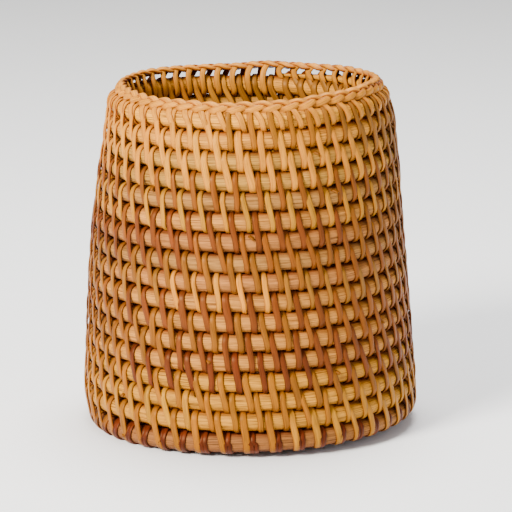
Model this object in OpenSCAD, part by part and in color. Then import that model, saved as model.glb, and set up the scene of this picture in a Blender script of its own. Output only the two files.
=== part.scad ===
// Round wastebasket of coiled cane: one thick round core is wound as a continuous helix,
// and flat binding strips lash every turn to the turn below it. A plait closes the rim.
// +Z is up, the origin is the middle of the resting plane, and the front faces -Y.

/* [Wall] */
// Radius of the coil's centre line where the wall leaves the foot
foot_r = 118; // [114:0.2:124]
// Radius of the coil's centre line at the front of the rim
rim_r = 97.2; // [96:0.2:106]
// Height of the coil's centre line at the front of the top turn
top_z = 244.8; // [243:0.2:248]
// Share of the taper that comes late, which gives the wall its belly
wall_belly = 0.36; // [0:0.02:0.4]
// Radius of the rounded corner between base and wall, on the centre line
corner_r = 6.5; // [6:0.5:12]

/* [Coil] */
// Diameter of the round core
core_d = 12.9; // [12.5:0.1:13]
// Rise of the coil in one turn
coil_pitch = 14.54; // [14.5:0.02:14.8]
// Height by which the middle of the base stands above its edge
base_dome = 3; // [0:0.5:5]
// Angle past the front where the top end of the coil starts to thin out
taper_start = 60; // [20:5:80]
// Angle past the front where the top end of the coil stops
taper_end = 165; // [150:5:180]

/* [Binding] */
// Width of a binding strip
strip_w = 4.8; // [4:0.1:5]
// Thickness of a binding strip
strip_t = 1.3; // [1:0.1:1.3]
// Room between a strip and the core that it lashes
strip_gap = 0.25; // [0.25:0.05:0.3]
// Stitches in one turn of the wall
stitches = 47.45; // [44.45:1:48.45]
// Sideways lean of a stitch
stitch_lean = 4; // [0:0.5:4]

/* [Rim] */
// Half width of the plait
plait_half_w = 3.2; // [2.8:0.1:3.4]
// Half height of the plait's weave
plait_half_h = 1.6; // [1.5:0.1:1.7]
// Diameter of one plaited strand
plait_strand_d = 2.4; // [2:0.1:2.5]
// Clear height between the top turn and the plait's middle
plait_lift = 5.2; // [4.4:0.1:6]

/* [Hidden] */

// Cane colours, from the pale core to the darkest strip
core_colour = [0.88, 0.75, 0.56];
cream = [0.88, 0.71, 0.46];
gold = [0.83, 0.60, 0.30];
amber = [0.74, 0.46, 0.22];
russet = [0.60, 0.32, 0.15];
strip_colours = [cream, cream, cream, amber, gold, amber, amber, gold, cream,
                 russet, amber, amber, russet, gold, gold, gold, russet];

core_r = core_d / 2;
loop_r = core_r + strip_gap;                 // inside of a stitch, round one core
floor_z = loop_r + strip_t;                  // centre line of the flat base
corner_len = corner_r * PI / 2 * 0.75;       // coil rise spent on the rounded corner
flat_r = foot_r - corner_r;                  // radius of the flat part of the base
wall_z = floor_z + corner_r;                 // where the straight wall starts
top_h = top_z - wall_z;
base_start_r = 8;                            // centre line radius at the coil's inner end
stitch_step = 360 / stitches;
base_stitch = 15;                            // distance between two stitches of the base
core_sides = 6;
start_u = 360 * (base_start_r - flat_r - corner_len - top_h) / coil_pitch;
wall_turns = 17;                             // turns from the taper's end down to the foot
wall_u = taper_end - 360 * wall_turns;       // where the wall's lowest stitch starts
end_core_r = 1.2;                            // radius of the thinned end of the coil
tip_r = 2;                                   // radius of the coil's inner end
round_fn = 32;

// The coil is a function of u, the angle wound from the front of the top turn, negative
// downwards. Its place on the section of the basket depends only on the height h(u).
function wind_h(u) = top_h + coil_pitch * u / 360;
function wall_r(h) =
    let (k = h / top_h)
    foot_r - (foot_r - rim_r) * ((1 - wall_belly) * k + wall_belly * pow(k, 3));
function dome_z(r) = base_dome * pow(max(0, 1 - r / (0.65 * flat_r)), 2);
function corner_point(turn) = [flat_r + corner_r * sin(turn), wall_z - corner_r * cos(turn)];
function section_point(h) =
    h >= 0 ? [wall_r(h), wall_z + h]
    : h > -corner_len ? corner_point(90 * (1 + h / corner_len))
    : let (r = flat_r + h + corner_len) [r, floor_z + dome_z(r)];

// The last part of the coil thins out and sinks onto the turn below it.
function taper(u) = min(1, max(0, (u - taper_start) / (taper_end - taper_start)));
function coil_r(u) =
    u < start_u + 90 ? tip_r + (core_r - tip_r) * (u - start_u) / 90
    : core_r - (core_r - end_core_r) * taper(u);
function coil_point(u) = section_point(wind_h(u)) - [0, core_r - coil_r(max(u, taper_start))];

// A point of the section, turned to its place round the basket
function around(p, u) = [p[0] * sin(u), -p[0] * cos(u), p[1]];
function ring_at(u) =
    let (c = coil_point(u), r = coil_r(u))
    [for (i = [0 : core_sides - 1])
        let (a = 360 * (i + 0.5) / core_sides)
        around(c + r * [cos(a), sin(a)], u)];

// Skin over a list of equal rings, with flat ends or closed on itself
module skin(rings, closed = false) {
    n = len(rings[0]);
    m = len(rings);
    sides = [for (j = [0 : closed ? m - 1 : m - 2], i = [0 : n - 1])
        let (k = (j + 1) % m, l = (i + 1) % n)
        [j * n + i, j * n + l, k * n + l, k * n + i]];
    ends = closed ? [] : [
        [for (i = [n - 1 : -1 : 0]) i],
        [for (i = [0 : n - 1]) (m - 1) * n + i]];
    flat_sides = [for (q = sides, t = [[q[0], q[1], q[2]], [q[0], q[2], q[3]]]) t];
    polyhedron([for (ring = rings) each ring], concat(flat_sides, ends));
}

// One length of core, with a ring at about every step degrees
module core_length(from, to, step) {
    count = ceil((to - from) / step);
    skin([for (j = [0 : count]) ring_at(from + (to - from) * j / count)]);
}

// Outline of a belt round two equal circles, whose centres are d apart on X
module belt(d, r) {
    circle(r = r, $fn = round_fn);
    if (d > 0) {
        translate([d, 0]) circle(r = r, $fn = round_fn);
        translate([0, -r]) square([d, 2 * r]);
    }
}

// One stitch: a strip wound round two rods at section points p and q, with the rods'
// radii p_r and q_r. Both ends are bent to the thicker rod's radius, and the end at a
// thinner rod moves in, so that the strip still lies on the rod's far side.
module stitch(p, q, p_r, q_r, u, lean = 0, w = strip_w) {
    way = norm(q - p) > 0 ? (q - p) / norm(q - p) : [0, 0];
    r = max(p_r, q_r);
    from = p + (r - p_r) * way;
    to = q - (r - q_r) * way;
    d = norm(to - from);
    middle = (from + to) / 2;
    rotate([0, 0, u - 90])
        translate([middle[0], 0, middle[1]])
            rotate([lean, 0, 0])
                rotate([90, -atan2(way[1], way[0]), 0])
                    translate([-d / 2, 0, -w / 2])
                        linear_extrude(w)
                            difference() {
                                belt(d, r + strip_gap + strip_t);
                                belt(d, r + strip_gap);
                            }
}

// The stitches of one turn of binding, from its upper end downwards
module binding(upper_u, step, lean) {
    first = ceil((upper_u - 360 - taper_end) / step);
    last = ceil((upper_u - taper_end) / step) - 1;
    for (j = [first : last]) {
        u = taper_end + j * step;
        stitch(coil_point(u - 360), coil_point(u), coil_r(u - 360), coil_r(u), u, lean);
    }
}

// The lowest turn's stitches stand straight, so that they rest flat.
module wall_binding(number) {
    lean = number < wall_turns ? stitch_lean : 0;
    color(strip_colours[number - 1])
        binding(taper_end - 360 * (number - 1), stitch_step, lean);
}

// The base's stitches keep about the same distance, so a turn has fewer towards the middle.
module base_binding(number) {
    upper_u = wall_u - 360 * (number - 1);
    r = coil_point(upper_u - 360)[0];
    color(gold) binding(upper_u, 360 / round(2 * PI * r / base_stitch), 0);
}

// The first turn at the middle of the base is lashed on its own.
module base_centre_loops() {
    loops = 6;
    color(amber)
        for (j = [0 : loops - 1]) {
            u = start_u + 120 + 360 * j / loops;
            stitch(coil_point(u), coil_point(u), coil_r(u), coil_r(u), u, 0, 3.2);
        }
}

module base_core() {
    color(core_colour) core_length(start_u, wall_u, 20);
}

// The wall's core is joined from five lengths of cane, end to end.
wall_lengths = 5;
module wall_core(number) {
    span = (taper_end - wall_u) / wall_lengths;
    color(core_colour)
        core_length(taper_end - span * number, taper_end - span * (number - 1), 15);
}

// Section point of the plait's middle, for u in the last turn of the coil: it stands clear
// of the turn that it rides on. Behind the coil's end it eases down onto the turn below.
plait_start_u = taper_end - 360;
plait_ease = 45;                             // angle over which the plait comes down
function top_of_coil(u) = coil_point(u) + [0, coil_r(u)];
function plait_point(u) =
    let (step = top_of_coil(taper_end)[1] - top_of_coil(plait_start_u)[1],
         ease = max(0, 1 - (u - plait_start_u) / plait_ease))
    top_of_coil(u) + [0, plait_lift + step * ease];

plait_waves = 16;
plait_rings = 6 * plait_waves;
plait_sides = 4;
module plait_strand(phase) {
    skin([for (j = [0 : plait_rings - 1])
        let (u = plait_start_u + 360 * j / plait_rings,
             a = 360 * plait_waves * j / plait_rings + phase,
             c = plait_point(u) + [plait_half_w * cos(a), plait_half_h * sin(2 * a)])
        [for (i = [0 : plait_sides - 1])
            let (b = 360 * i / plait_sides)
            around(c + plait_strand_d / 2 * [cos(b), sin(b)], u)]], true);
}
module rim_plait_a() { color(cream) plait_strand(0); }
module rim_plait_b() { color(gold) plait_strand(120); }
module rim_plait_c() { color(cream) plait_strand(240); }

// Each loop holds the plait down to the turn under it.
module rim_loops() {
    holder_r = plait_half_w + plait_strand_d / 2;
    count = 3 * plait_waves;
    color(cream)
        for (j = [0 : count - 1]) {
            u = plait_start_u + 360 * (j + 0.5) / count;
            holder = plait_point(u) - [0, plait_half_w - plait_half_h];
            stitch(coil_point(u), holder, coil_r(u), holder_r, u, -stitch_lean, 3.6);
        }
}

// Cut ends of the binding strips, tucked out between two turns
module strip_ends() {
    tail = [3, 2.4, 1.1];
    tail_in = 3.6;                           // from the coil's centre line to a tail's root
    tail_spread = 60;                        // stitches from one tail to the next
    between = 0.275;                         // share of a stitch that keeps a tail clear
    color(gold)
        for (j = [1 : wall_turns - 4]) {
            u = taper_end - stitch_step * (tail_spread * j + between);
            p = (coil_point(u) + coil_point(u - 360)) / 2;
            rotate([0, 0, u - 90])
                translate([p[0] + tail_in, -tail[1] / 2, p[1] - tail[2] / 2])
                    cube(tail);
        }
}

base_core();
wall_core(1);  // wall_core_1
wall_core(2);  // wall_core_2
wall_core(3);  // wall_core_3
wall_core(4);  // wall_core_4
wall_core(5);  // wall_core_5
wall_binding(1);  // binding_01
wall_binding(2);  // binding_02
wall_binding(3);  // binding_03
wall_binding(4);  // binding_04
wall_binding(5);  // binding_05
wall_binding(6);  // binding_06
wall_binding(7);  // binding_07
wall_binding(8);  // binding_08
wall_binding(9);  // binding_09
wall_binding(10);  // binding_10
wall_binding(11);  // binding_11
wall_binding(12);  // binding_12
wall_binding(13);  // binding_13
wall_binding(14);  // binding_14
wall_binding(15);  // binding_15
wall_binding(16);  // binding_16
wall_binding(17);  // binding_17
base_binding(1);  // base_binding_1
base_binding(2);  // base_binding_2
base_binding(3);  // base_binding_3
base_binding(4);  // base_binding_4
base_binding(5);  // base_binding_5
base_binding(6);  // base_binding_6
base_centre_loops();
rim_loops();
rim_plait_a();
rim_plait_b();
rim_plait_c();
strip_ends();
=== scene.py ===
import bpy
import numpy as np
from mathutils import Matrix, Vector


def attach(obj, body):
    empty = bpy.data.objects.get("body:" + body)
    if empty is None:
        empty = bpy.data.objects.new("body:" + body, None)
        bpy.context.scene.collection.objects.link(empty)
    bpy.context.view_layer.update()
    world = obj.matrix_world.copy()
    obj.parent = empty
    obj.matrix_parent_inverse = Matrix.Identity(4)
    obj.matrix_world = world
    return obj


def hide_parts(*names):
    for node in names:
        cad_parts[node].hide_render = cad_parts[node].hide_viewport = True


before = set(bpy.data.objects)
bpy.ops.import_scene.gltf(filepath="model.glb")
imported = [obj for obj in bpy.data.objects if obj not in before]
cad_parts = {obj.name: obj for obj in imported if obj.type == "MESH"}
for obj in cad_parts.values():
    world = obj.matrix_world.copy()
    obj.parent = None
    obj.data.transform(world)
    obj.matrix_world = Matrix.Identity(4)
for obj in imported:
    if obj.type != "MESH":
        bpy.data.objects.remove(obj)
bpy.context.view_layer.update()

MM = 0.001
rng = np.random.default_rng(11)

# ---------------------------------------------------------------- the CAD part's coil
FOOT_R = 118.0           # radius of the coil's centre line where the wall leaves the foot
RIM_R = 97.2             # the same at the front of the rim
TOP_Z = 244.8            # height of the centre line at the front of the top turn
BELLY = 0.36             # share of the taper that comes late
CORNER_R = 6.5           # rounded corner between base and wall
CORE_R = 6.9             # radius of the round core, swelled until its turns nearly touch
PITCH = 14.54            # rise in one turn
DOME = 3.0               # how far the middle of the base stands up
BASE_RISE = 3.0          # how far the base stands up behind its outermost turn
TAPER_START, TAPER_END = 60.0, 165.0
END_CORE_R = 1.2
FLOOR_Z = 8.3            # centre line of the flat base
SWAY = 0.95              # how far the wall bows sideways between its ends and its middle
STITCHES = 47.45         # stitches in one turn of the wall
WALL_TURNS = 17
BASE_TURNS = 6
WALL_LENGTHS = 5
BASE_START_R = 8.0
BASE_STITCH = 15.0       # from stitch to stitch on a turn of the base
BASE_STRIP_W = 4.6

STEP = 360 / STITCHES
CORNER_LEN = CORNER_R * np.pi / 2 * 0.75
FLAT_R = FOOT_R - CORNER_R
WALL_Z = FLOOR_Z + CORNER_R
TOP_H = TOP_Z - WALL_Z
START_U = 360 * (BASE_START_R - FLAT_R - CORNER_LEN - TOP_H) / PITCH
WALL_U = TAPER_END - 360 * WALL_TURNS


def smooth(x):
    x = np.clip(x, 0, 1)
    return x * x * (3 - 2 * x)


def bump_at(x, middle, width):
    return np.exp(-((x - middle) / width) ** 2)


def section(h):
    """Centre line's radius and height on the basket's section, at winding height h."""
    k = h / TOP_H
    wall = FOOT_R - (FOOT_R - RIM_R) * ((1 - BELLY) * k + BELLY * k ** 3)
    turn = np.radians(90 * (1 + h / CORNER_LEN))
    flat = FLAT_R + h + CORNER_LEN
    dome = DOME * np.clip(1 - flat / (0.65 * FLAT_R), 0, None) ** 2
    dome = dome + BASE_RISE * smooth((-CORNER_LEN - h) / 7)
    on_corner = h > -CORNER_LEN
    r = np.where(h >= 0, wall, np.where(on_corner, FLAT_R + CORNER_R * np.sin(turn), flat))
    z = np.where(h >= 0, WALL_Z + h,
                 np.where(on_corner, WALL_Z - CORNER_R * np.cos(turn), FLOOR_Z + dome))
    return np.stack([r, z], -1)


def taper(u):
    return np.clip((u - TAPER_START) / (TAPER_END - TAPER_START), 0, 1)


def coil_r(u):
    """Radius of the core, which thins out at both ends of the coil."""
    tip = np.clip((u - START_U) / 90, 0.05, 1)
    return 2 + (CORE_R - 2) * tip - (CORE_R - END_CORE_R) * taper(u)


FOOT_LOW = -5815.0       # where the lowest turn of the wall hangs lowest, on its left
# Slow waves that make the hand-wound turns slightly uneven: size, waves a turn, phase
WAVES_R = [(0.30, 2.37, 0.4), (0.20, 5.13, 2.0), (0.12, 9.7, 4.1)]
WAVES_Z = [(0.22, 3.19, 1.3), (0.16, 6.71, 5.2), (0.10, 11.3, 0.7)]


def wander(u, waves):
    a = np.radians(u)
    return sum(size * np.sin(a * rate + phase) for size, rate, phase in waves)


def coil_point(u):
    """Centre of the core after winding to angle u: 0 is the front of the top turn."""
    h = TOP_H + PITCH * u / 360
    p = section(h)
    up = np.clip((h + CORNER_LEN) / 20, 0, 1)
    sink = np.where(u > TAPER_START, CORE_R - coil_r(np.maximum(u, TAPER_START)), 0)
    sway = SWAY * np.cos(2 * np.pi * (p[..., 1] - 12) / 236) * np.sin(np.radians(u))
    foot = bump_at(u, FOOT_LOW, 44)
    return p + np.stack([wander(u, WAVES_R) * up + sway + 1.5 * foot,
                         wander(u, WAVES_Z) * up - sink - 1.6 * foot], -1)


def around(p, u):
    """Section points p turned to angle u round the basket, in millimetres."""
    a = np.radians(u)
    return np.stack([p[..., 0] * np.sin(a), -p[..., 0] * np.cos(a), p[..., 1]], -1)


def unit(v):
    return v / np.linalg.norm(v, axis=-1, keepdims=True)


# ---------------------------------------------------------------- meshes
class Skin:
    """Collects swept rods and strips, and makes one mesh of them."""

    def __init__(self):
        self.points, self.quads, self.caps, self.uvs, self.tints = [], [], [], [], []
        self.count = 0

    def sweep(self, centre, up, outline, tint, edge=0.0, closed=False):
        """One swept solid. outline is (n, 2) or (rings, n, 2), counter-clockwise, in mm."""
        rings = len(centre)
        outline = np.broadcast_to(outline, (rings,) + np.shape(outline)[-2:])
        n = outline.shape[1]
        if closed:
            tangent = unit(np.roll(centre, -1, 0) - np.roll(centre, 1, 0))
        else:
            tangent = unit(np.gradient(centre, axis=0))
        up = unit(up - tangent * np.sum(up * tangent, -1, keepdims=True))
        side = np.cross(up, tangent)
        points = (centre[:, None] + side[:, None] * outline[:, :, :1]
                  + up[:, None] * outline[:, :, 1:])
        self.points.append(points.reshape(-1, 3))
        spans = rings if closed else rings - 1
        j = np.arange(spans)[:, None]
        i = np.arange(n)[None, :]
        k, l = (j + 1) % rings, (i + 1) % n
        quads = np.stack([j * n + i, j * n + l, k * n + l, k * n + i], -1).reshape(-1, 4)
        self.quads.append(quads + self.count)
        if not closed:
            self.caps.append(np.arange(n)[::-1] + self.count)
            self.caps.append(np.arange(n) + (rings - 1) * n + self.count)
        step = np.linalg.norm(np.roll(centre, -1, 0) - centre, axis=1)
        along = np.concatenate([[0], np.cumsum(step)]) + rng.uniform(0, 5000)
        first = outline[0]
        across = np.concatenate([[0], np.cumsum(
            np.linalg.norm(np.roll(first, -1, 0) - first, axis=1))]) + rng.uniform(0, 300)
        v0, v1 = along[j], along[j + 1]
        u0, u1 = across[i], across[i + 1]
        corners = [(u0, v0), (u1, v0), (u1, v1), (u0, v1)]
        uv = np.stack([np.stack(np.broadcast_arrays(a, b), -1) for a, b in corners], 2)
        self.uvs.append(uv.reshape(-1, 2))
        rgba = np.empty((rings, n, 4))
        rgba[:, :, :3] = np.broadcast_to(tint, (rings, 3))[:, None]
        rgba[:, :, 3] = edge
        self.tints.append(rgba.reshape(-1, 4))
        self.count += rings * n

    def piece(self, name, material, slot, *nodes):
        points = np.concatenate(self.points) * MM
        quads = np.concatenate(self.quads)
        sizes = [4] * len(quads) + [len(c) for c in self.caps]
        corners = np.concatenate([quads.ravel()] + self.caps).astype(np.int32)
        mesh = bpy.data.meshes.new(name)
        mesh.vertices.add(len(points))
        mesh.vertices.foreach_set("co", points.ravel())
        mesh.loops.add(len(corners))
        mesh.loops.foreach_set("vertex_index", corners)
        mesh.polygons.add(len(sizes))
        starts = np.concatenate([[0], np.cumsum(sizes)[:-1]]).astype(np.int32)
        mesh.polygons.foreach_set("loop_start", starts)
        mesh.polygons.foreach_set("use_smooth", np.ones(len(sizes), bool))
        uv = np.zeros((len(corners), 2), np.float32)
        side_uv = np.concatenate(self.uvs)
        uv[:len(side_uv)] = side_uv * MM
        mesh.uv_layers.new(name="Fibre").data.foreach_set("uv", uv.ravel())
        tint = mesh.color_attributes.new(name="Tint", type="FLOAT_COLOR", domain="POINT")
        tint.data.foreach_set("color", np.concatenate(self.tints).astype(np.float32).ravel())
        mesh.materials.append(material)
        mesh.update(calc_edges=True)
        mesh.validate()
        piece = bpy.data.objects.new(name, mesh)
        bpy.context.collection.objects.link(piece)
        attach(piece, "root")
        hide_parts(*nodes)


# ---------------------------------------------------------------- colours
def srgb(r, g, b):
    c = np.array([r, g, b]) / 255
    return np.where(c <= 0.04045, c / 12.92, ((c + 0.055) / 1.055) ** 2.4)


CREAM = srgb(200, 128, 28)
TAN = srgb(140, 88, 20)
GOLD = srgb(148, 88, 6)
STRAW = srgb(172, 114, 18)
HONEY = srgb(128, 74, 10)
AMBER = srgb(128, 68, 10)
RUST = srgb(108, 50, 10)
RUSSET = srgb(96, 38, 8)
UMBER = srgb(98, 36, 8)
OLIVE = srgb(136, 88, 28)
# What a colour is multiplied by: painted shade in the gaps, the strips' edges (partly real,
# partly painted shade) and the core's pores
PAINTED_GAP_SHADE = np.array([0.40, 0.20, 0.14])     # painted shade on a strip where it passes between two cores
STRIP_EDGE_STAIN_AND_SHADE = (0.36, 0.17, 0.20, 1)     # the cut edges of a strip: their real darker colour, and painted shade
PAINTED_CORE_SHADE = (0.40, 0.15, 0.14, 1)       # painted shade on the core where it faces the next turn
PORE_STAIN = (1.0, 0.80, 0.66, 1)            # the pores of the core

# Colours of the binding strips by turn, from the rim down: (angle where it starts, colour)
STRIP_RUNS = {
    1: [(-180, CREAM), (-12, GOLD), (29, TAN)],
    2: [(-150, CREAM), (48, TAN)],
    3: [(-110, CREAM), (60, TAN)],
    4: [(-130, AMBER), (70, HONEY)],
    5: [(-160, STRAW)],
    6: [(-100, AMBER), (-45, RUST), (38, HONEY)],
    7: [(-140, RUST), (-20, AMBER), (36, HONEY)],
    8: [(-120, HONEY), (16, AMBER)],
    9: [(-95, TAN), (-28, CREAM), (8, TAN), (38, OLIVE)],
    10: [(-150, AMBER), (-46, RUST), (30, AMBER)],
    11: [(-125, HONEY), (12, AMBER)],
    12: [(-100, HONEY), (-26, RUST), (40, AMBER)],
    13: [(-140, GOLD), (-47, RUSSET), (22, RUST)],
    14: [(-110, GOLD), (12, HONEY)],
    15: [(-160, STRAW), (-14, GOLD), (30, STRAW)],
    16: [(-130, GOLD), (10, STRAW)],
    17: [(-170, HONEY), (-62, UMBER), (70, RUST)],
    18: [(-100, HONEY)],
}

# Tone of the core at the front of each turn, from the rim down, and at last of the base
BRIGHT_CORE = srgb(234, 160, 45)
CREAMY_CORE = srgb(208, 138, 45)
DULL_CORE = srgb(180, 128, 48)
GREY_CORE = srgb(162, 112, 54)
WARM_CORE = srgb(190, 126, 52)
ROSY_CORE = srgb(175, 112, 54)
YELLOW_CORE = srgb(196, 134, 36)
BROWN_CORE = srgb(144, 90, 45)
CORE_TONES = [BRIGHT_CORE, CREAMY_CORE, DULL_CORE, DULL_CORE, GREY_CORE, WARM_CORE, ROSY_CORE,
              GREY_CORE, ROSY_CORE, WARM_CORE, WARM_CORE, WARM_CORE, WARM_CORE, YELLOW_CORE,
              YELLOW_CORE, YELLOW_CORE, BROWN_CORE, BROWN_CORE]


def strip_colour(row, theta):
    """Colour of a binding strip at an angle of its turn. A strip goes on into the next turn."""
    row = min(row, max(STRIP_RUNS))
    runs = STRIP_RUNS[row]
    if theta < runs[0][0]:
        return STRIP_RUNS[min(row + 1, max(STRIP_RUNS))][-1][1]
    return [colour for start, colour in runs if theta >= start][-1]


def core_tint(u):
    """Tone of the core along the coil, with slow changes and darker streaks."""
    row = np.clip(-u / 360, 0, len(CORE_TONES) - 1)
    tones = np.array(CORE_TONES)
    low = np.floor(row).astype(int)
    high = np.minimum(low + 1, len(tones) - 1)
    blend = (row - low)[:, None]
    tone = tones[low] * (1 - blend) + tones[high] * blend
    shade = 1 + 0.05 * np.sin(np.radians(u) * 1.7) + 0.04 * np.sin(np.radians(u) * 4.3 + 1)
    return tone * shade[:, None]


# ---------------------------------------------------------------- materials
class Shader:
    """A short way to write a material's nodes."""

    def __init__(self, name):
        self.material = bpy.data.materials.new(name)
        self.material.use_nodes = True
        self.tree = self.material.node_tree
        self.surface = self.tree.nodes["Principled BSDF"]

    def node(self, kind, inputs=None, **settings):
        node = self.tree.nodes.new("ShaderNode" + kind)
        for key, value in settings.items():
            setattr(node, key, value)
        for key, value in (inputs or {}).items():
            self.put(node.inputs[key], value)
        return node

    def put(self, socket, value):
        if isinstance(value, bpy.types.NodeSocket):
            self.tree.links.new(value, socket)
        else:
            socket.default_value = value

    def math(self, operation, a, b=0.0, c=0.0):
        return self.node("Math", {0: a, 1: b, 2: c}, operation=operation).outputs[0]

    def mix(self, kind, factor, a, b):
        node = self.node("Mix", data_type="RGBA", blend_type=kind)
        self.put(node.inputs[0], factor)
        self.put(node.inputs[6], a)
        self.put(node.inputs[7], b)
        return node.outputs[2]

    def ramp(self, value, *stops):
        node = self.node("ValToRGB", {0: value})
        elements = node.color_ramp.elements
        while len(elements) < len(stops):
            elements.new(0.5)
        for element, (place, grey) in zip(elements, stops):
            element.position = place
            element.color = (grey, grey, grey, 1)
        return node.outputs[0]

    def stretched(self, across, along):
        """The strip's own coordinates, in millimetres times a rate across and along."""
        uv = self.node("UVMap", uv_map="Fibre").outputs[0]
        scale = (across / MM, along / MM, 1.0)
        return self.node("VectorMath", {0: uv, 1: scale}, operation="MULTIPLY").outputs[0]

    def noise(self, across, along, detail=3.0, rough=0.55):
        return self.node("TexNoise", {
            "Vector": self.stretched(across, along), "Scale": 1.0,
            "Detail": detail, "Roughness": rough}).outputs[0]


WARM_GLOSS = (1.0, 0.64, 0.32, 1)            # tint of the cane's reflections


def peel_material(name):
    """Glossy outer skin of the cane, split into a flat strip."""
    s = Shader(name)
    tint = s.node("Attribute", attribute_name="Tint")
    fibre = s.ramp(s.noise(3.0, 0.05), (0.32, 0.52), (0.52, 0.98), (0.72, 1.22))
    blotch = s.ramp(s.noise(0.16, 0.045, 4.0), (0.30, 0.74), (0.52, 1.0), (0.75, 1.10))
    stain = s.ramp(s.noise(0.5, 0.9, 2.0), (0.66, 1.0), (0.74, 0.66))
    colour = s.mix("MULTIPLY", 1.0, tint.outputs["Color"], fibre)
    colour = s.mix("MULTIPLY", 1.0, colour, blotch)
    colour = s.mix("MULTIPLY", 0.7, colour, stain)
    # the strip's sides and flat underside darkened: partly the peel's real cut edges, partly
    # painted shade
    edge_tone = s.mix("MULTIPLY", tint.outputs["Alpha"], colour, STRIP_EDGE_STAIN_AND_SHADE)
    s.put(s.surface.inputs["Base Color"], edge_tone)
    gloss = s.noise(1.2, 0.15)
    s.put(s.surface.inputs["Roughness"], s.math("MULTIPLY_ADD", gloss, 0.30, 0.30))
    s.surface.inputs["Specular IOR Level"].default_value = 0.28
    s.surface.inputs["Specular Tint"].default_value = WARM_GLOSS
    bump = s.node("Bump", {"Height": s.noise(3.4, 0.06, 4.0), "Strength": 0.35,
                           "Distance": 0.25 * MM})
    s.put(s.surface.inputs["Normal"], bump.outputs[0])
    return s.material


def core_material(name):
    """Bare round core: pale wood fibres with brown pores between them."""
    s = Shader(name)
    tint = s.node("Attribute", attribute_name="Tint")
    pores = s.noise(2.1, 0.035, 3.0, 0.6)
    lines = s.ramp(pores, (0.38, 0.34), (0.49, 0.94), (0.60, 1.10))
    fine = s.ramp(s.noise(5.5, 0.10), (0.32, 0.70), (0.52, 0.96), (0.70, 1.10))
    streak = s.ramp(s.noise(0.35, 0.012, 4.0), (0.34, 0.74), (0.50, 1.0), (0.72, 1.08))
    colour = s.mix("MULTIPLY", 1.0, tint.outputs["Color"], lines)
    colour = s.mix("MULTIPLY", 1.0, colour, fine)
    colour = s.mix("MULTIPLY", 1.0, colour, streak)
    warm = s.ramp(pores, (0.36, 1.0), (0.48, 0.0))
    colour = s.mix("MULTIPLY", warm, colour, PORE_STAIN)
    # painted shade on the core's top and underside, where it faces the next turns
    colour = s.mix("MULTIPLY", tint.outputs["Alpha"], colour, PAINTED_CORE_SHADE)
    s.put(s.surface.inputs["Base Color"], colour)
    s.surface.inputs["Roughness"].default_value = 0.55
    s.surface.inputs["Specular IOR Level"].default_value = 0.25
    s.surface.inputs["Specular Tint"].default_value = WARM_GLOSS
    bump = s.node("Bump", {"Height": pores, "Strength": 0.6, "Distance": 0.4 * MM})
    s.put(s.surface.inputs["Normal"], bump.outputs[0])
    return s.material


PEEL = peel_material("cane_peel")
CORE = core_material("cane_core")


# ---------------------------------------------------------------- the core
def core_piece(name, node, start, end, step):
    u = np.linspace(start, end, int((end - start) / step) + 1)
    centre = around(coil_point(u), u)
    angle = np.radians(np.arange(24) * 15.0)
    circle = np.stack([np.cos(angle), np.sin(angle)], -1)
    ribs = 1 + 0.006 * np.sin(3 * angle + 1) + 0.005 * np.sin(5 * angle)
    radius = coil_r(u) * (1 + 0.008 * np.sin(np.radians(u) * 7.3))
    outline = circle[None] * (ribs[None] * radius[:, None])[:, :, None]
    skin = Skin()
    # painted shade mask: strongest on the core's top and underside, facing the next turns
    core_shade_mask = np.abs(np.sin(angle)) ** 4
    skin.sweep(centre, np.tile([0.0, 0.0, 1.0], (len(u), 1)), outline, core_tint(u), core_shade_mask)
    skin.piece(name, CORE, "core_cane", node)


for number in range(1, WALL_LENGTHS + 1):
    span = (TAPER_END - WALL_U) / WALL_LENGTHS
    core_piece(f"core_length_{number}", f"wall_core_{number}",
               TAPER_END - span * number, TAPER_END - span * (number - 1), 3.0)
core_piece("core_of_base", "base_core", START_U, WALL_U, 5.0)

# ---------------------------------------------------------------- the binding strips
# Half-round outline of a strip for a width and a thickness of 1, flat side on the core
STRIP = np.array([(-0.44, 0), (0.44, 0), (0.5, 0.28), (0.46, 0.68), (0.30, 0.93), (0.0, 1.0),
                  (-0.30, 0.93), (-0.46, 0.68), (-0.5, 0.28)])
# How much of the edge colour each outline point takes: partly the real cut edge, partly painted
# shade
STRIP_EDGE = np.array([1.0, 1.0, 1.0, 0.55, 0.05, 0.0, 0.05, 0.55, 1.0])
STRIP_T = 1.3
OUT_SHARE = 0.31         # share of a stitch's advance that shows outside
SPREAD = 2.0             # how far the stitches beside the front are moved, in degrees
SPREAD_WIDTH = 14.0

# One stitch as samples: place between the upper core (0) and the lower (1), and the angle
# round that core, which is 90 on top, 0 outside, -90 below and -180 inside
STITCH_PLACE = np.concatenate([np.zeros(9), np.linspace(0, 1, 7)[1:-1], np.ones(19),
                               np.linspace(1, 0, 6)[1:-1], np.zeros(9)])[:-1]
STITCH_ANGLE = np.concatenate([np.linspace(90, 0, 9), np.zeros(5), np.linspace(0, -180, 19),
                               np.full(4, -180.0), np.linspace(-180, -270, 9)])[:-1]


def spread(u):
    """Moves stitches apart at the front, where they lie wider than at the sides."""
    at = (u + 4 + 180) % 360 - 180
    return u + SPREAD * (np.tanh(at / SPREAD_WIDTH) - at / 180)


# Spread of the hand-made differences between stitches, which loose scales
LEAN_TOP, LEAN_BOTTOM = 0.35, 0.45           # degrees along the turn
ROLL = 5.0                                   # degrees about the strip's own line
WIDTH_SPREAD = 0.055                         # share of the width
SLACK_LEAST, SLACK_MOST = 0.1, 0.6           # how far a stitch stands off between two cores
TONE_SPREAD, HUE_SPREAD = 0.055, 0.02


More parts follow.
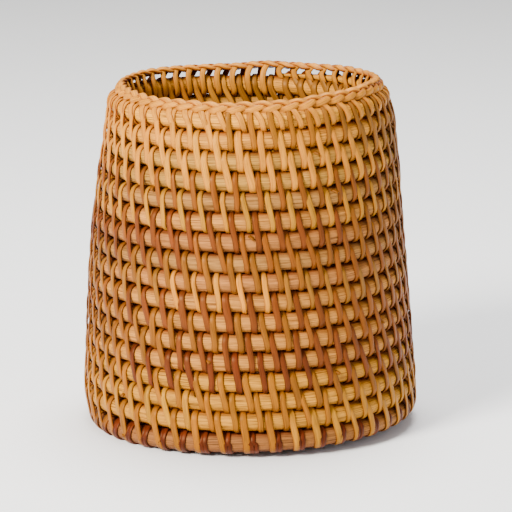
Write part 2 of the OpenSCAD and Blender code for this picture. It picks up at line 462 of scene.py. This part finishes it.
def stitch_advance(place, angle):
    """Share of the way to the next stitch that is done at each sample of a stitch."""
    # how far down the outside and then up the inside a sample is, each from 0 to 1
    down = place * 0.5 + (90 - np.clip(angle, -90, 90)) / 180 * 0.5
    up = (1 - place) * 0.5 + (-90 - np.clip(angle, -270, -90)) / 180 * 0.5
    outside = 0.75 * np.clip((down - 0.12) / 0.82, 0, 1) + 0.25 * smooth(down * 1.3 - 0.15)
    inside = smooth(up * 1.3 - 0.15)
    return np.where(angle > -90, OUT_SHARE * outside, OUT_SHARE + (1 - OUT_SHARE) * inside)


def winding(skin, starts, step, width, colours, offset=0.0, single=False, loose=1.0):
    """One strip wound on from stitch to stitch round the turn at u and the turn below it."""
    count, samples = len(starts), len(STITCH_PLACE)
    place, angle = STITCH_PLACE[None], STITCH_ANGLE[None]
    advance = stitch_advance(place, angle)
    top = bump_at(angle, 45, 60) * (1 - place)
    bottom = bump_at(angle, -45, 60) * place
    lean_top = rng.normal(0, LEAN_TOP * loose, (count, 1))
    lean_bottom = rng.normal(0, LEAN_BOTTOM * loose, (count, 1))
    u = spread(starts)[:, None] + offset + advance * step + lean_top * top + lean_bottom * bottom
    upper, upper_r = coil_point(u), coil_r(u)
    if single:
        lower, lower_r = upper, upper_r
        along = np.broadcast_to([0.0, 1.0], upper.shape)
    else:
        lower, lower_r = coil_point(u - 360), coil_r(u - 360)
        along = unit(upper - lower)
    out = np.stack([along[..., 1], -along[..., 0]], -1)
    centre = upper + (lower - upper) * place[..., None]
    radius = upper_r + (lower_r - upper_r) * place + 0.08
    turn = np.radians(np.broadcast_to(angle, u.shape))
    p = centre + radius[..., None] * (np.cos(turn)[..., None] * out
                                      + np.sin(turn)[..., None] * along)
    slack = rng.uniform(SLACK_LEAST, SLACK_MOST, (count, 1)) * loose
    mid_out = np.sin(np.pi * place) * np.where(angle > -90, 1, 0)
    mid_in = np.sin(np.pi * place) * np.where(angle < -90, 1, 0)
    p = p + (slack * mid_out)[..., None] * out - (0.3 * mid_in)[..., None] * out
    u, p = u.reshape(-1), p.reshape(-1, 2)
    line = around(p, u)
    slope = unit(np.gradient(p, axis=0))
    normal = around(np.stack([-slope[:, 1], slope[:, 0]], -1), u)
    roll = rng.normal(0, ROLL * loose, (count, 1)) * np.maximum(mid_out, 0.4 * (top + bottom))
    tangent = unit(np.gradient(line, axis=0))
    side = np.cross(normal, tangent)
    roll = np.radians(np.broadcast_to(roll, (count, samples)).reshape(-1, 1))
    normal = normal * np.cos(roll) + side * np.sin(roll)
    pinch = 1 - 0.14 * bump_at(angle, 90, 32) - 0.14 * bump_at(angle, -90, 32)
    widths = width * rng.normal(1, WIDTH_SPREAD * loose, (count, 1)) * pinch
    scale = np.stack([widths.reshape(-1), np.full(widths.size, STRIP_T)], -1)
    outline = STRIP[None] * scale[:, None]
    # where the strip crosses the top or underside of a core into the gap between turns: painted
    # shade darkens it there
    gap = np.clip(bump_at(angle, 90, 30) * (1 - place) + bump_at(angle, -90, 30) * place
                  + bump_at(angle, -270, 30), 0, 1)
    tone = np.asarray(colours) * rng.normal(1, TONE_SPREAD, (count, 1))
    tone = tone * (1 + rng.normal(0, HUE_SPREAD, (count, 3)))
    tint = tone[:, None] * (1 + (PAINTED_GAP_SHADE - 1) * 0.8 * gap[..., None])
    skin.sweep(line, normal, outline, tint.reshape(-1, 3), STRIP_EDGE)


# Width of each turn's strip, from the rim down. The lowest one is laid double.
NARROW, PLAIN, BROAD = 4.3, 4.6, 5.2
STRIP_WIDTHS = [PLAIN, BROAD, BROAD, NARROW, NARROW, PLAIN, NARROW, PLAIN, NARROW, BROAD, PLAIN,
                PLAIN, PLAIN, BROAD, PLAIN, BROAD, 3.9]
FIRST_STITCH = -0.6      # angle of a stitch at the front of the top turn
SLOTS = ["cream_strip"] * 3 + ["amber_strip", "gold_strip", "amber_strip", "amber_strip",
         "gold_strip", "cream_strip", "russet_strip", "amber_strip", "amber_strip",
         "russet_strip", "gold_strip", "gold_strip", "gold_strip", "russet_strip"]


def stitches_between(low_u, high_u, step):
    first = int(np.ceil((low_u - FIRST_STITCH) / step))
    last = int(np.floor((high_u - FIRST_STITCH) / step))
    return FIRST_STITCH + step * np.arange(first, last + 1)


for row in range(1, WALL_TURNS + 1):
    high_u = TAPER_END - 360 * (row - 1)
    starts = stitches_between(high_u - 360, high_u - (STEP if row == 1 else 0.01), STEP)
    thetas = starts + 360 * (row - 1)
    colours = [strip_colour(row, theta) for theta in thetas]
    skin = Skin()
    if row == WALL_TURNS:
        for offset in (-0.74, 0.74):
            winding(skin, starts, STEP, STRIP_WIDTHS[-1], colours, offset, loose=0.4)
    else:
        winding(skin, starts, STEP, STRIP_WIDTHS[row - 1], colours)
    skin.piece(f"strip_{row:02d}", PEEL, SLOTS[row - 1], f"binding_{row:02d}")

for turn in range(1, BASE_TURNS + 1):
    high_u = WALL_U - 360 * (turn - 1)
    base_r = coil_point(np.array([high_u - 360.0]))[0, 0]
    step = 360 / round(2 * np.pi * base_r / BASE_STITCH)
    starts = stitches_between(high_u - 360, high_u - step / 2, step)
    skin = Skin()
    winding(skin, starts, step, BASE_STRIP_W, [strip_colour(18, 0)] * len(starts), loose=0.7)
    skin.piece(f"base_strip_{turn}", PEEL, "gold_strip", f"base_binding_{turn}")

# the wrap of the first turn, and the same strip laced across the hole inside it
CENTRE_LOOPS, CENTRE_STEP, CENTRE_STRIP_W = 11, 36.0, 3.8
LACINGS = 5
LACE_R = 12.0            # how far from the middle of the base the lacing reaches
LACE_RISE = 5.5          # how far its ends stand above its middle
skin = Skin()
winding(skin, START_U + 60 + CENTRE_STEP * np.arange(CENTRE_LOOPS), CENTRE_STEP, CENTRE_STRIP_W,
        [AMBER] * CENTRE_LOOPS, single=True, loose=0.5)
middle_z = coil_point(np.array([START_U]))[0, 1]
reach = np.linspace(-LACE_R, LACE_R, 11)
for i in range(LACINGS):
    layer = i - (LACINGS - 1) / 2
    path = np.stack([reach, middle_z + LACE_RISE * (np.abs(reach) / LACE_R) ** 3 + layer], -1)
    outline = STRIP[None] * np.tile([BASE_STRIP_W, STRIP_T], (len(reach), 1))[:, None]
    skin.sweep(around(path, np.full(len(reach), 180.0 / LACINGS * i)),
               np.tile([0.0, 0.0, 1.0], (len(reach), 1)), outline, AMBER, STRIP_EDGE)
skin.piece("base_centre_strip", PEEL, "amber_strip", "base_centre_loops")

# ---------------------------------------------------------------- the rim's plait
RIM_START = TAPER_END - 360
RIM_LOOPS = 48
PLAIT_WAVES = RIM_LOOPS // 3
PLAIT_PHASE = 0.25       # angle at which a strand is outermost at the front
PLAIT_A = 3.1            # half the sideways swing of a strand's centre line
PLAIT_B = 1.15           # half its rise and fall
PLAIT_W, PLAIT_T = 5.4, 2.1
LOOP_W, LOOP_T = 4.7, 1.35
LOOP_SAMPLES = 46
PLAIT_LEAN = 51.0        # how far the plait leans out, in degrees
BACK_FLAT = 44.0         # how much flatter it lies at the back
BACK_LIFT = 1.5          # and how much higher
# Height of the plait's middle above the coil's top, by angle wound
RIM_LIFTS = [(-195, 2.2), (-180, 2.8), (-160, 5.0), (-140, 5.2), (-110, 5.4), (-80, 5.0),
             (-45, 4.0), (-10, 3.1), (15, 3.1), (35, 5.0), (60, 5.6), (85, 4.9), (110, 4.5),
             (140, 4.2), (165, 5.2)]


def rim_top(u):
    """Top of the coil under the plait, eased down behind the coil's end."""
    top = coil_point(u) + np.stack([0 * u, coil_r(u)], -1)
    ends = [coil_point(np.array([e]))[0, 1] + coil_r(np.array([e]))[0]
            for e in (TAPER_END, RIM_START)]
    ends[0] += RIM_LIFTS[-1][1] - RIM_LIFTS[0][1]
    ease = smooth(1 - (u - RIM_START) / 40)
    return top + np.stack([0 * u, (ends[0] - ends[1]) * ease], -1)


def rim_lift(u):
    """Height of the plait's middle above the coil's top, read smoothly from the list."""
    place, lift = np.array(RIM_LIFTS).T
    i = np.clip(np.searchsorted(place, u) - 1, 0, len(place) - 2)
    part = smooth((u - place[i]) / (place[i + 1] - place[i]))
    return lift[i] + (lift[i + 1] - lift[i]) * part


def plait_frame(u):
    """Middle of the plait with its outward and upward directions, on the section."""
    front = np.cos(np.radians(u))
    back = smooth(-1.2 * front)
    lean = np.radians(PLAIT_LEAN - 5 * front - BACK_FLAT * back)
    shift = 0.4 + 1.2 * front - 1.2 * (1 - front ** 2) + 1.2 * back
    middle = rim_top(u) + np.stack([shift, rim_lift(u) + BACK_LIFT * back], -1)
    out = np.stack([np.cos(lean), -np.sin(lean)], -1)
    face = np.stack([np.sin(lean), np.cos(lean)], -1)
    return middle, out, face


RIM_TONE = srgb(200, 128, 28)
for strand, letter in enumerate("abc"):
    samples = PLAIT_WAVES * 26
    u = RIM_START + 360 * np.arange(samples) / samples
    a = np.radians((u - PLAIT_PHASE) * PLAIT_WAVES + 120 * strand)
    middle, out, face = plait_frame(u)
    swing = PLAIT_A * np.cos(a) * (1.13 - 0.13 * np.cos(np.radians(u)))
    swing = swing * (1 + 0.08 * np.sin(np.radians(u) * 5 + strand))
    rise = PLAIT_B * np.sin(2 * a)
    p = middle + swing[:, None] * out + rise[:, None] * face
    roll = np.radians(38) * np.cos(a)
    normal = around(np.cos(roll)[:, None] * face + np.sin(roll)[:, None] * out, u)
    width = PLAIT_W * (1 + 0.06 * np.sin(a * 0.37 + strand) - 0.12 * np.sin(a) ** 2)
    outline = STRIP[None] * np.stack([width, np.full(samples, PLAIT_T)], -1)[:, None]
    outline = outline - [0, PLAIT_T / 2]
    shade = 1 + 0.05 * np.sin(a / 3 + 2 * strand) + 0.04 * np.sin(np.radians(u) * 2.3 + strand)
    # painted shade where a strand passes under the next one
    under = np.clip(-np.sin(2 * a), 0, 1)[:, None]
    tint = RIM_TONE * shade[:, None] * (1 + (PAINTED_GAP_SHADE - 1) * 0.55 * under)
    skin = Skin()
    skin.sweep(around(p, u), normal, outline, tint, STRIP_EDGE, closed=True)
    slot = "gold_strip" if letter == "b" else "cream_strip"
    skin.piece(f"plait_strand_{letter}", PEEL, slot, f"rim_plait_{letter}")


# ---------------------------------------------------------------- the rim's loops
def through(points, samples):
    """Smooth curve through the points of each row (Catmull-Rom)."""
    n = points.shape[1]
    padded = np.concatenate([2 * points[:, :1] - points[:, 1:2], points,
                             2 * points[:, -1:] - points[:, -2:-1]], 1)
    t = np.linspace(0, n - 1 - 1e-9, samples)
    i = np.floor(t).astype(int)
    f = (t - i)[None, :, None]
    p0, p1, p2, p3 = (padded[:, i + k] for k in range(4))
    return 0.5 * (2 * p1 + (p2 - p0) * f + (2 * p0 - 5 * p1 + 4 * p2 - p3) * f ** 2
                  + (3 * p1 - p0 - 3 * p2 + p3) * f ** 3)


LOOP_FRONT = 2.0         # angle at which a loop leaves the plait at the front
loop_u = LOOP_FRONT + 360 / RIM_LOOPS * (np.arange(RIM_LOOPS) - RIM_LOOPS // 2 - 2)
loop_u = loop_u[(loop_u > RIM_START) & (loop_u < TAPER_END - 4)]
# Stations of a loop: degrees on from where it starts, and its angle round the top turn
LOOP_STATIONS = [(0.9, 52), (1.9, 28), (2.9, 2), (3.7, -30), (4.2, -62), (4.5, -92),
                 (4.9, -128), (5.4, -160)]
controls = []
for start in loop_u:
    stations = []
    middle, out, face = (v[0] for v in plait_frame(np.array([start])))
    stations.append([start, *(middle + 1.6 * out - 1.7 * face)])
    for on, angle in LOOP_STATIONS:
        u = np.array([start + on + rng.normal(0, 0.12)])
        turn = np.radians(angle)
        reach = coil_r(u)[0] + 0.9
        stations.append([u[0], *(coil_point(u)[0] + reach * np.array([np.cos(turn),
                                                                      np.sin(turn)]))])
    low = stations[-1]
    high_u = start + 4.2 + rng.normal(0, 0.3)
    middle, out, face = (v[0] for v in plait_frame(np.array([high_u])))
    top = middle - 2.6 * out - 0.6 * face
    side_r = coil_point(np.array([start + 6.2]))[0, 0] - coil_r(np.array([start + 6.2]))[0] - 1.0
    for share, on in ((0.38, 6.3), (0.75, 5.9)):
        height = low[2] + (top[1] - low[2]) * share
        radius = side_r + (top[0] - side_r) * share ** 3
        stations.append([start + on, radius, height])
    stations.append([high_u, *top])
    stations.append([high_u - 1.4, *(middle + 0.2 * out + 0.2 * face)])
    controls.append(stations)
curves = through(np.array(controls), LOOP_SAMPLES)
along_loop = np.linspace(0, 1, LOOP_SAMPLES)
skin = Skin()
for curve in curves:
    u, p = curve[:, 0], curve[:, 1:]
    slope = unit(np.gradient(p, axis=0))
    normal = around(np.stack([-slope[:, 1], slope[:, 0]], -1), u)
    width = LOOP_W * rng.normal(1, 0.05) * (1 - 0.15 * bump_at(along_loop, 0.5, 0.12))
    outline = STRIP[None] * np.stack([width, np.full(LOOP_SAMPLES, LOOP_T)], -1)[:, None]
    # painted shade where the loop passes under the top turn and where it comes out from under
    # the plait
    gap = bump_at(along_loop, 0.47, 0.1) + bump_at(along_loop, 0, 0.06)
    tone = RIM_TONE * rng.normal(1, 0.05)
    tint = tone * (1 + (PAINTED_GAP_SHADE - 1) * 0.8 * np.clip(gap, 0, 1)[:, None])
    skin.sweep(around(p, u), normal, outline, tint, STRIP_EDGE)
skin.piece("rim_loop_strips", PEEL, "cream_strip", "rim_loops")

# ---------------------------------------------------------------- cut ends of strips
# (angle, turn counted from the rim, tilt): where a strip's cut end shows between two turns
CUT_ENDS = [(26, 2.67, 10), (33.5, 4.65, -15), (-39.5, 4.40, 20), (0.3, 6.64, 0),
            (31, 13.72, -10), (-14.5, 12.77, 15), (-19.5, 14.45, 60), (53.5, 11.74, 0),
            (-49, 15.05, 30), (-49, 17.0, -20), (110, 3.5, 10), (150, 7.6, -20),
            (-120, 9.4, 15), (-160, 12.5, 0), (-95, 6.6, -15), (130, 14.6, 25)]
skin = Skin()
for theta, turn, tilt in CUT_ENDS:
    u = np.array([theta - 360.0 * (turn - 1)])
    p = coil_point(u)[0]
    n = 7
    t = np.linspace(0, 1, n)
    lean = np.radians(tilt)
    path_u = theta + t * 1.1 * np.cos(lean)
    path = np.stack([p[0] + 4.6 + 4.2 * t ** 0.8, p[1] - 0.6 - 1.6 * t ** 2], -1)
    up = around(np.tile([0.3, 1.0], (n, 1)), path_u)
    width = np.interp(t, [0, 0.6, 1], [3.2, 3.0, 2.2])
    outline = STRIP[None] * np.stack([width, np.full(n, 1.2)], -1)[:, None]
    # 0.3: the whole cut end is darkened a little with the edge colour, partly painted shade
    skin.sweep(around(path, path_u), up, outline, HONEY * rng.normal(1.05, 0.08), 0.3)
skin.piece("cut_strip_ends", PEEL, "gold_strip", "strip_ends")

# ---------------------------------------------------------------- floor, light and camera
FLOOR_SIZE = 12.0        # metres, as all lengths from here on
AIM = Vector((0, 0, 0.13))                   # middle of the basket, which the lights face
CAMERA_AWAY = 2.5
CAMERA_HEIGHT = 0.6874
CAMERA_TILT = 0.2219     # radians down from level
CAMERA_LENS = 239.5
CAMERA_SHIFT = 0.0137

bpy.ops.mesh.primitive_plane_add(size=FLOOR_SIZE)
floor = bpy.context.object
floor.name = "floor"
floor_look = Shader("pale_floor")
floor_look.surface.inputs["Base Color"].default_value = (0.93, 0.93, 0.93, 1)
floor_look.surface.inputs["Roughness"].default_value = 0.9
floor_look.surface.inputs["Specular IOR Level"].default_value = 0.1
floor.data.materials.append(floor_look.material)

world = bpy.data.worlds.new("studio")
bpy.context.scene.world = world
world.use_nodes = True
world.node_tree.nodes["Background"].inputs["Color"].default_value = (1, 1, 1, 1)
world.node_tree.nodes["Background"].inputs["Strength"].default_value = 0.5


def area_light(name, place, size, power, colour=(1, 1, 1)):
    light = bpy.data.lights.new(name, "AREA")
    light.shape = "DISK"
    light.size = size
    light.energy = power
    light.color = colour
    lamp = bpy.data.objects.new(name, light)
    lamp.location = place
    lamp.rotation_euler = (AIM - lamp.location).to_track_quat("-Z", "Y").to_euler()
    bpy.context.collection.objects.link(lamp)


area_light("key", (-1.4, -1.6, 1.5), 0.9, 168, (1.0, 0.97, 0.90))
area_light("fill", (1.6, -1.5, 0.9), 1.6, 13, (0.84, 0.90, 1.0))
area_light("top", (0.1, 0.5, 2.2), 1.2, 74)

camera_data = bpy.data.cameras.new("camera")
camera = bpy.data.objects.new("camera", camera_data)
bpy.context.collection.objects.link(camera)
bpy.context.scene.camera = camera
camera_data.sensor_width = 36
camera_data.lens = CAMERA_LENS
camera_data.shift_x = CAMERA_SHIFT
camera_data.clip_end = 50
camera.location = (0, -CAMERA_AWAY, CAMERA_HEIGHT)
camera.rotation_euler = (np.pi / 2 - CAMERA_TILT, 0, 0)
